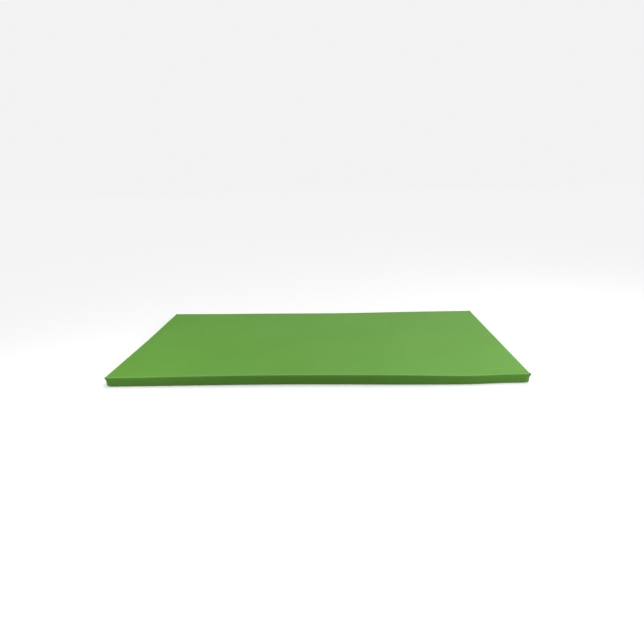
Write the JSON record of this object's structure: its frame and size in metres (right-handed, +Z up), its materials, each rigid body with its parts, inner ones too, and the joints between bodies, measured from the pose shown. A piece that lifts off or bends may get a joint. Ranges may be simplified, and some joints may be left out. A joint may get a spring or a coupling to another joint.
{
  "type": "gymnastics floor mat",
  "caption": "Thin rectangular gym mat: foam core in a sewn coated-fabric cover with flat side bands, an end zip and webbing carry straps on one long side.",
  "frame": {"origin": "on the floor, under the middle of the mat", "axes": "+X along the length towards the end with the zip, +Y across the width towards the side with the carrying straps, +Z up"},
  "size_m": [2.408, 1.2549, 0.0514],
  "materials": {
    "foam": "matte",
    "green_vinyl": "satin",
    "green_thread": "matte",
    "zip_tape": "matte",
    "zip_coil": "satin",
    "zip_metal": "satin",
    "webbing": "matte",
    "strap_thread": "matte"
  },
  "bodies": {
    "mat": {"foam_core_lower": "foam", "foam_core_upper": "foam", "top_panel": "green_vinyl", "bottom_panel": "green_vinyl", "front_side_band": "green_vinyl", "back_side_band": "green_vinyl", "left_end_band": "green_vinyl", "zip_band_upper": "green_vinyl", "zip_band_lower": "green_vinyl", "zip_end_patch_front": "green_vinyl", "zip_end_patch_back": "green_vinyl", "left_strap_patch": "green_vinyl", "right_strap_patch": "green_vinyl", "edge_stitching_top": "green_thread", "edge_stitching_bottom": "green_thread", "corner_stitching": "green_thread", "zip_stitching": "green_thread", "zip_tape_upper": "zip_tape", "zip_tape_lower": "zip_tape", "zip_coil_upper": "zip_coil", "zip_coil_lower": "zip_coil", "zip_top_stops": "zip_metal", "zip_bottom_stop": "zip_metal", "left_strap_sewn_ends": "webbing", "right_strap_sewn_ends": "webbing", "strap_box_stitching": "strap_thread"},
    "zip_slider": {"zip_slider": "zip_metal"},
    "zip_pull": {"zip_pull_tab": "zip_metal"},
    "left_strap": {"left_strap_loop": "webbing", "left_strap_grip": "green_vinyl"},
    "right_strap": {"right_strap_loop": "webbing", "right_strap_grip": "green_vinyl"}
  },
  "joints": [
    {"name": "zip_slide", "type": "slide", "parent": "mat", "child": "zip_slider", "axis": [0, -1, 0], "range_m": [0, 1.083]},
    {"name": "zip_pull_swing", "type": "hinge", "parent": "zip_slider", "child": "zip_pull", "pos_m": [1.20588, 0.5415, 0.0257], "axis": [0, 0, 1], "range_deg": [0, 180]},
    {"name": "left_strap_swing", "type": "hinge", "parent": "mat", "child": "left_strap", "pos_m": [-0.5, 0.614, 0.0257], "axis": [1, 0, 0], "range_deg": [0, 65]},
    {"name": "right_strap_swing", "type": "hinge", "parent": "mat", "child": "right_strap", "pos_m": [0.5, 0.614, 0.0257], "axis": [1, 0, 0], "range_deg": [0, 65]}
  ]
}
